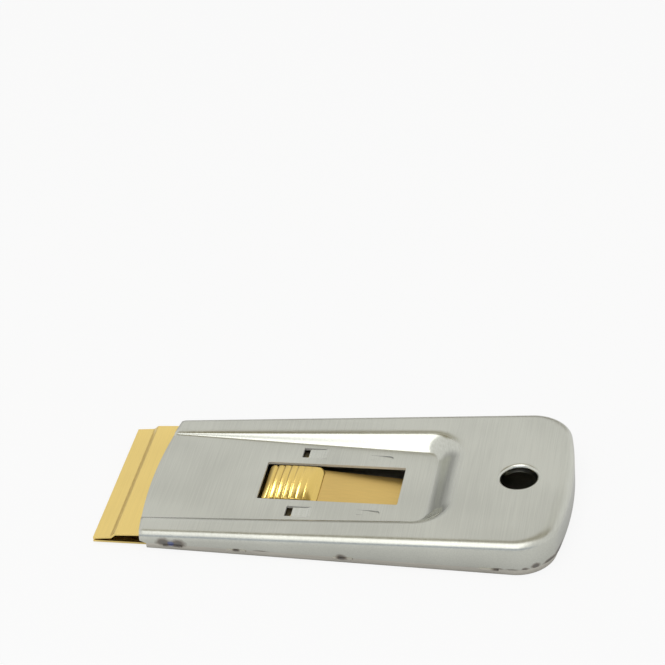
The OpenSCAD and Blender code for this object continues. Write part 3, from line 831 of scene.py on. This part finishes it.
    def roll_front(self, bm, h, plan):
        """Rolls the front edge down, less and less towards the skirt's lower edge."""
        for vert in bm.verts:
            back = SHELL_HIGH.y - h.front_bow - vert.co.y
            run = min(max((back - plan.front(vert.co.x)) / h.front_roll, 0), 1)
            if run < 1:
                height = (vert.co.z - SHELL_LOW.z) / (h.front_h - SHELL_LOW.z)
                vert.co.z -= h.roll_drop * (1 - run) ** 2 * min(max(height, 0), 1)


class SCRAPER_OT_back_plate(bpy.types.Operator):
    """Shallow pan that closes the shell from below"""
    bl_idname = "scraper.back_plate"
    bl_label = "Back plate"

    def execute(self, context):
        h, plan, bm = handle(), Plan(), bmesh.new()
        inset = h.sheet_t + h.plate_gap
        rings = []
        for share in PLATE_SHARES:
            rings.append(self.ring(h, plan, inset, mix(PLATE_HIGH.z, h.plate_bend_r, share)))
        for i in range(BEND_STEPS + 1):
            angle = math.pi / 2 * i / BEND_STEPS
            rings.append(self.ring(h, plan, inset + h.plate_bend_r * (1 - math.cos(angle)),
                                   h.plate_bend_r * (1 - math.sin(angle))))
        rings.append(self.ring(h, plan, inset + h.plate_bend_r + BEND_BAND, 0))
        inner = add_strip(bm, rings)[-1]
        right, left = inner[0].co, inner[-1].co
        front = []
        for i in range(1, ARC_STEPS):
            u = mix(left.x, right.x, i / ARC_STEPS)
            front.append(bm.verts.new(place(u, plan.front(u) + h.plate_set, 0)))
        add_fill(bm, [inner + front, add_loop(bm, [place(p.x, p.y, 0) for p in plan.hole(h.hole_r)])])
        look = materials()
        make_piece("back_pan", bm, [look["plate"], look["edge"]], "handle", ["back_plate"],
                   h.plate_t, h.edge, up=False, rim_slot=PLATE_EDGE)
        return {"FINISHED"}

    def ring(self, h, plan, inset, z):
        start = plan.front(h.body_w / 2 - inset) + h.plate_set
        return [place(p.x, p.y, z) for p in plan.outline(inset, inset, start)]


def dress(name, material, edge):
    """Gives a CAD node its finish and soft edges."""
    part = frame["nodes"][name]
    part.data.materials.clear()
    part.data.materials.append(material)
    soften(part, edge)


class SCRAPER_OT_weld_tacks(bpy.types.Operator):
    """Tack welds along the seam"""
    bl_idname = "scraper.weld_tacks"
    bl_label = "Weld tacks"

    def execute(self, context):
        dress("weld_tacks", materials()["weld"], handle().tack_edge)
        return {"FINISHED"}


class SCRAPER_OT_carrier_base(bpy.types.Operator):
    """Lower leaf of the blade carrier"""
    bl_idname = "scraper.carrier_base"
    bl_label = "Carrier base"

    def execute(self, context):
        dress("carrier_base", materials()["carrier"], carrier().base_edge)
        return {"FINISHED"}


class SCRAPER_OT_blade_lip(bpy.types.Operator):
    """Upper leaf of the blade carrier, with its joggled lip"""
    bl_idname = "scraper.blade_lip"
    bl_label = "Blade lip"

    def execute(self, context):
        c, bm = carrier(), bmesh.new()
        joggle = c.lip_l - c.reach
        landing = BASE_HIGH.z + c.leaf_t
        profile = rounded([
            (-c.reach, c.lip_h), (joggle, c.lip_h + c.lip_rise),
            (joggle + c.joggle_l, c.lip_h + c.lip_rise + c.joggle_rise), (c.stop_back, LIP_HIGH.z),
            (c.stop_back + c.stop_run, landing), (c.base_back, landing)], c.crease_r)
        add_strip(bm, [[place(LIP_HIGH.x * share, v, z) for share in LIP_SHARES] for v, z in profile])
        make_piece("lip_leaf", bm, [materials()["carrier"]], "blade_slide", ["blade_lip"],
                   c.leaf_t, handle().edge)
        return {"FINISHED"}


# Material slots of the spring leaf
DULL, PAINTED_SHADE, BRIGHT = range(3)
# Slopes of the hump's front, heel and sides, as rise over run
FRONT_SLOPE, HEEL_SLOPE, SIDE_SLOPE = 0.9, 0.75, 4.5


class SCRAPER_OT_thumb_spring(bpy.types.Operator):
    """Spring leaf with its tail, wings, teeth and ribbed thumb hump"""
    bl_idname = "scraper.thumb_spring"
    bl_label = "Thumb spring"

    def execute(self, context):
        c, plan, look = carrier(), Plan(), materials()
        bm = bmesh.new()
        self.tail(bm, c, plan)
        for side in (-1, 1):
            self.wing(bm, c, plan, side)
        make_piece("spring_leaf", bm, [look["tail"], look["wing"], look["hump"]], "thumb_leaf",
                   ["thumb_spring"], c.spring_t, c.spring_edge)
        bm = bmesh.new()
        self.hump(bm, c, plan)
        make_piece("thumb_hump", bm, [look["hump"]], "thumb_leaf", ["thumb_spring"], c.spring_t)
        return {"FINISHED"}

    def tail(self, bm, c, plan):
        """Foot, tail and level part."""
        along, across = TAIL_STEPS
        profile = rounded([
            (plan.hump_back + c.hump_lap, c.level_h), (plan.hump_end, c.level_h),
            (plan.foot_back, c.foot_h), (plan.foot_back + c.foot_l, c.foot_h)], c.spring_bend_r, along)
        columns = [plan.tail_w / 2 * i / across for i in range(-across, across + 1)]
        add_strip(bm, [[place(u, v, z) for u in columns] for v, z in profile], slots=DULL)

    def wing(self, bm, c, plan, side):
        """A wing with its catch tooth, pressed up as a smooth pip."""
        along, across = WING_STEPS
        rows = []
        for i in range(along + 1):
            v = plan.wing_back + c.wing_l * i / along
            row = []
            for j in range(across + 1):
                u = mix(plan.tail_w / 2, SPRING_HIGH.x, j / across)
                off = Vector(((u - plan.lance_x) / c.tooth_w, (v - plan.tooth_back) / c.tooth_l - 0.5)) * 2
                row.append(place(side * u, v, c.level_h + c.tooth_h * max(1 - off.length_squared, 0) ** 1.5))
            rows.append(row)
        before = set(bm.faces)
        # The wings get the brass painted dark as shade under the sheet, the teeth's pips the bright plate
        add_strip(bm, rows, slots=PAINTED_SHADE)
        for face in set(bm.faces) - before:
            if face.calc_center_median().z > c.level_h + c.tooth_h / 4:
                face.material_index = BRIGHT

    def hump(self, bm, c, plan):
        """The ribbed hump: a drawn cap with a crown, round edges and ribs across."""
        along, across = HUMP_STEPS
        low = c.level_h - c.hump_sink
        rows = []
        for i in range(along + 1):
            v = mix(plan.hump_back, plan.hump_end, i / along)
            rows.append([])
            for j in range(across + 1):
                u = plan.hump_w / 2 * math.sin(math.pi / 2 * (2 * j / across - 1))
                rows[-1].append(place(u, v, max(self.height(c, plan, u, v), low)))
        add_strip(bm, rows)
        bare = [f for f in bm.faces if max(v.co.z for v in f.verts) <= low + NO_RISE]
        bmesh.ops.delete(bm, geom=bare, context="FACES")

    def height(self, c, plan, u, v):
        """Height of the hump at a place."""
        half, mid = plan.hump_w / 2, (plan.hump_back + plan.hump_end) / 2
        low = c.level_h - c.hump_sink
        off = v - plan.hump_back
        plain = SPRING_HIGH.z - c.rib_rise
        fall = c.hump_crown * (u / half) ** 2 + c.hump_arch * ((v - mid) / c.hump_l * 2) ** 2
        z = plain + self.rib(c, off) - fall
        z = soft_min(z, low + c.hump_front_h + off * FRONT_SLOPE, c.hump_round)
        z = soft_min(z, low + c.hump_heel_h + (c.hump_l - off) * HEEL_SLOPE, c.hump_round)
        dent = ((u + c.dent_left) / c.dent_w) ** 2 + ((c.hump_l - off - c.dent_set) / c.dent_l) ** 2
        z -= c.dent_depth * math.exp(-dent)
        past = Vector((max(abs(u) - half + c.hump_corner, 0), max(abs(v - mid) - c.hump_l / 2 + c.hump_corner, 0)))
        return soft_min(z, low + (c.hump_corner - past.length) * SIDE_SLOPE, c.side_round)

    def rib(self, c, off):
        """Height of the ribs: broad crests, narrow valleys that grow shallow rearwards, and a plain heel."""
        off -= c.rib_first
        last = (c.rib_count - 1) * c.rib_pitch
        if not 0 <= off <= last + c.rib_pitch:
            return c.rib_rise
        from_valley = (off / c.rib_pitch) % 1 - 0.5
        depth = c.rib_rise * mix(1, c.rib_fade, eased(off / last))
        return c.rib_rise - depth * math.exp(-(from_valley / c.rib_valley) ** 2)


class SCRAPER_OT_rivets(bpy.types.Operator):
    """Rivets of the lip and of the spring's foot"""
    bl_idname = "scraper.rivets"
    bl_label = "Rivets"

    def execute(self, context):
        for name in ("lip_rivets", "spring_rivets"):
            dress(name, materials()["carrier"], carrier().rivet_edge)
        return {"FINISHED"}


# Floor: radius, depth under the part, the share of its own glow that the camera sees, and the reach of the soft
# shade at the part's foot
FLOOR_R = 0.7
FLOOR_DROP = 0.05 * MM
PAPER_GLOW = 0.88
SHADE_REACH = 8 * MM
# Strength of the surroundings for soft light. What is seen or mirrored has full strength.
SOFT_SKY = 0.5
# Lamps: watts, and in metres the place, the extent and the way that the back faces
LAMPS = {
    "softbox": (2.5, (-0.46, 0.05, 0.75), (1.08, 0.5), (0, 0, 1)),
    "rib_lamp": (1.8, (0.58, 0.34, 0.75), (0.2, 0.34), (0.58, 0.34, 0.75)),
}
# Cards: colours at the bottom and the top, and in metres the place, the extent and the way that the face looks
CARDS = {
    "front_card": ("#707070", "#FFFFFF", (0.7, 0.55, 0.21), (1.3, 0.44), (0.82, 0.57, 0)),
    "near_card": ("#B8C2D2", None, (-0.9, 0, 0.36), (1.8, 0.46), (1, 0, 0)),
    "warm_card": ("#A8A18A", None, (0.37, 0, 0.75), (0.48, 1), (0, 0, 1)),
    "far_card": ("#A39D90", None, (0.9, 0.2, 0.19), (1, 0.26), (1, 0, 0)),
}
# Camera: width of its sensor in millimetres, and the nearest and farthest that it sees in metres
SENSOR_MM = 36
SIGHT = (0.01, 10)


class SCRAPER_OT_stage(bpy.types.Operator):
    """Pale floor, soft light and the camera"""
    bl_idname = "scraper.stage"
    bl_label = "Stage"

    def execute(self, context):
        self.floor()
        self.light(context)
        self.camera(context)
        context.scene.view_settings.view_transform = "Standard"
        return {"FINISHED"}

    def rays(self, tree):
        """The camera's rays, and the rays that mirrors and glass send on."""
        path = node(tree, "ShaderNodeLightPath").outputs
        sent_on = node(tree, "ShaderNodeMath", {
            0: path["Is Glossy Ray"], 1: path["Is Transmission Ray"]}, operation="MAXIMUM").outputs["Value"]
        return path["Is Camera Ray"], sent_on

    def floor(self):
        """White paper: shown white, with a faint shadow kept in its diffuse share and close under the part."""
        bm = bmesh.new()
        bmesh.ops.create_circle(bm, cap_ends=True, segments=FLOOR_STEPS, radius=FLOOR_R)
        floor = add_object("floor", bm)
        floor.location.z = -FLOOR_DROP
        paper = bpy.data.materials.new("white paper")
        floor.data.materials.append(paper)
        tree = blank_tree(paper)
        matt = node(tree, "ShaderNodeBsdfDiffuse", {"Color": opaque(linear("#F2F2F0"))})
        camera, sent_on = self.rays(tree)
        shaded = node(tree, "ShaderNodeAmbientOcclusion", {
            "Color": opaque(linear("#F4F4F4")), "Distance": SHADE_REACH}, samples=8).outputs["Color"]
        white = node(tree, "ShaderNodeMix", {
            MIX_SHARE: sent_on, MIX_A: opaque(linear("#FFFFFF")), MIX_B: shaded}, data_type="RGBA")
        glow = node(tree, "ShaderNodeEmission", {"Color": white.outputs[MIX_RESULT], "Strength": 1})
        share = node(tree, "ShaderNodeMath", {0: camera, 1: PAPER_GLOW, 2: sent_on}, operation="MULTIPLY_ADD")
        both = node(tree, "ShaderNodeMixShader", {
            "Fac": share.outputs["Value"], 1: matt.outputs["BSDF"], 2: glow.outputs["Emission"]})
        node(tree, "ShaderNodeOutputMaterial", {"Surface": both.outputs["Shader"]})

    def light(self, context):
        """White surroundings, a softbox overhead, a lamp for the ribs and cards that shape the metal."""
        world = bpy.data.worlds.new("studio")
        tree = blank_tree(world)
        camera, sent_on = self.rays(tree)
        shown = node(tree, "ShaderNodeMath", {0: camera, 1: sent_on}, operation="MAXIMUM").outputs["Value"]
        strength = node(tree, "ShaderNodeMapRange", {"Value": shown, "To Min": SOFT_SKY, "To Max": 1})
        sky = node(tree, "ShaderNodeBackground", {
            "Color": opaque(linear("#FFFFFF")), "Strength": strength.outputs["Result"]})
        node(tree, "ShaderNodeOutputWorld", {"Surface": sky.outputs["Background"]})
        context.scene.world = world
        for name, (watts, at, extent, away) in LAMPS.items():
            box = bpy.data.lights.new(name, "AREA")
            box.shape = "RECTANGLE"
            box.size, box.size_y = extent
            box.energy = watts
            lamp = bpy.data.objects.new(name, box)
            context.scene.collection.objects.link(lamp)
            self.turn(lamp, at, away)
        # The small lamp at the far side is flagged off from all but the ribbed hump
        ribs = bpy.data.collections.new("ribs")
        ribs.objects.link(bpy.data.objects["thumb_hump"])
        bpy.data.objects["rib_lamp"].light_linking.receiver_collection = ribs
        for name, (low, high, at, extent, facing) in CARDS.items():
            card = self.card(name, low, high)
            card.scale = (*extent, 1)
            self.turn(card, at, facing)

    def turn(self, thing, at, ahead):
        """Puts a lamp or card in its place, turned to a direction."""
        thing.location = at
        thing.rotation_mode = "QUATERNION"
        thing.rotation_quaternion = Vector(ahead).to_track_quat("Z", "Y")

    def card(self, name, low, high):
        """A card out of the camera's sight, which shapes what the metal mirrors. It may pale towards its top."""
        bm = bmesh.new()
        bmesh.ops.create_grid(bm, x_segments=1, y_segments=1, size=0.5)
        card = add_object(name, bm)
        card.visible_camera = card.visible_diffuse = card.visible_shadow = False
        paint = bpy.data.materials.new(name)
        card.data.materials.append(paint)
        tree = blank_tree(paint)
        colour = opaque(linear(low))
        if high:
            spot = node(tree, "ShaderNodeTexCoord").outputs["Generated"]
            height = node(tree, "ShaderNodeSeparateXYZ", {"Vector": spot}).outputs["Y"]
            colour = node(tree, "ShaderNodeMix", {
                MIX_SHARE: height, MIX_A: colour, MIX_B: opaque(linear(high))},
                data_type="RGBA").outputs[MIX_RESULT]
        glow = node(tree, "ShaderNodeEmission", {"Color": colour, "Strength": 1})
        node(tree, "ShaderNodeOutputMaterial", {"Surface": glow.outputs["Emission"]})
        return card

    def camera(self, context):
        """The camera, aimed from the front corners' middle."""
        s = context.scene.scraper_stage
        level = Vector((math.cos(s.azimuth), math.sin(s.azimuth), 0))
        back = Vector((math.sin(s.azimuth) * math.cos(s.elevation), -math.cos(s.azimuth) * math.cos(s.elevation),
                       math.sin(s.elevation)))
        upright = back.cross(level)
        right = level * math.cos(s.roll) - upright * math.sin(s.roll)
        up = level * math.sin(s.roll) + upright * math.cos(s.roll)
        aim = place(0, 0, s.aim_h) + right * s.aim_right + up * s.aim_up
        lens = bpy.data.cameras.new("camera")
        lens.lens = s.lens
        lens.sensor_width = SENSOR_MM
        lens.clip_start, lens.clip_end = SIGHT
        camera = bpy.data.objects.new("camera", lens)
        facing = Matrix((right, up, back)).transposed().to_4x4()
        camera.matrix_world = Matrix.Translation(aim + back * s.distance) @ facing
        context.scene.collection.objects.link(camera)
        context.scene.camera = camera


PIECES = (
    SCRAPER_OT_top_shell, SCRAPER_OT_back_plate, SCRAPER_OT_weld_tacks, SCRAPER_OT_carrier_base,
    SCRAPER_OT_blade_lip, SCRAPER_OT_thumb_spring, SCRAPER_OT_rivets, SCRAPER_OT_stage,
)
GROUPS = {
    "scraper_handle": ScraperHandle, "scraper_carrier": ScraperCarrier, "scraper_finish": ScraperFinish,
    "scraper_stage": ScraperStage,
}


class SCRAPER_PT_sidebar(bpy.types.Panel):
    """Buttons that build the scraper's pieces"""
    bl_idname = "SCRAPER_PT_sidebar"
    bl_label = "Razor blade scraper"
    bl_space_type = "VIEW_3D"
    bl_region_type = "UI"
    bl_category = "Scraper"

    def draw(self, context):
        for piece in PIECES:
            self.layout.operator(piece.bl_idname)
        for group, kind in GROUPS.items():
            column = self.layout.column()
            for name in kind.__annotations__:
                column.prop(getattr(context.scene, group), name)


def register():
    for group, kind in GROUPS.items():
        bpy.utils.register_class(kind)
        setattr(bpy.types.Scene, group, bpy.props.PointerProperty(type=kind))
    for kind in (*PIECES, SCRAPER_PT_sidebar):
        bpy.utils.register_class(kind)


def unregister():
    for kind in (SCRAPER_PT_sidebar, *reversed(PIECES)):
        bpy.utils.unregister_class(kind)
    for group, kind in GROUPS.items():
        delattr(bpy.types.Scene, group)
        bpy.utils.unregister_class(kind)


def main():
    register()
    bpy.ops.scraper.top_shell()
    bpy.ops.scraper.back_plate()
    bpy.ops.scraper.weld_tacks()
    bpy.ops.scraper.carrier_base()
    bpy.ops.scraper.blade_lip()
    bpy.ops.scraper.thumb_spring()
    bpy.ops.scraper.rivets()
    bpy.ops.scraper.stage()


if __name__ == "__main__":
    main()
